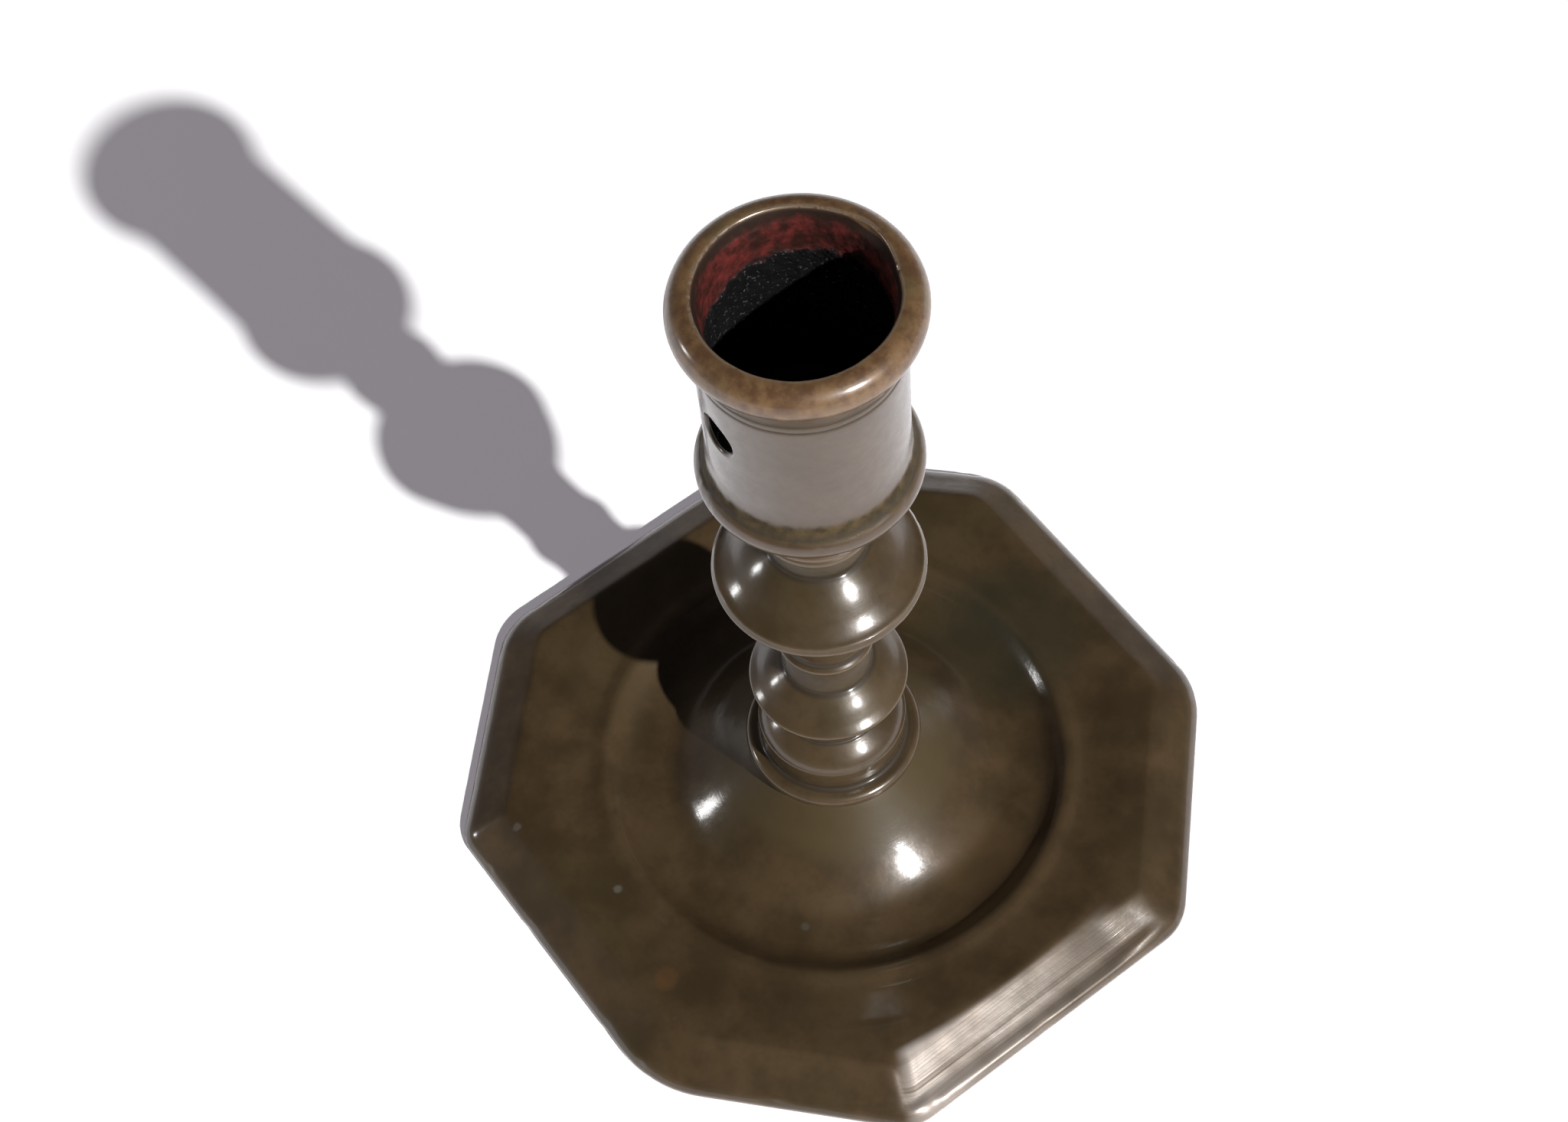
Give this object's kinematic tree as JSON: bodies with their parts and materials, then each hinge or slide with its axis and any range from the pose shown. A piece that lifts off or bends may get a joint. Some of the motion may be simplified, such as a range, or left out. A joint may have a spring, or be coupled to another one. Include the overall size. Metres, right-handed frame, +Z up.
{
  "type": "candlestick",
  "caption": "Turned bronze candlestick with a cylindrical candle socket, a knopped stem and a wide eight-sided foot with a round drip well.",
  "frame": {"origin": "centre of the foot's underside, on the surface that the candlestick stands on", "axes": "+Z up the stem, two of the foot's long sides face -Y and +Y, and the socket's hole looks about -Y"},
  "size_m": [0.1156, 0.1156, 0.1389],
  "materials": {
    "foot_bronze": "dark brown patina, satin",
    "stem_bronze": "olive brown patina, hand polished",
    "socket_bronze": "golden brown patina, hand polished",
    "wrought_iron": "dark, lightly rusted"
  },
  "bodies": {
    "root": {"base": "foot_bronze", "stem": "stem_bronze", "nozzle": "socket_bronze", "stud": "wrought_iron", "washer": "wrought_iron", "nut": "wrought_iron"}
  },
  "joints": []
}
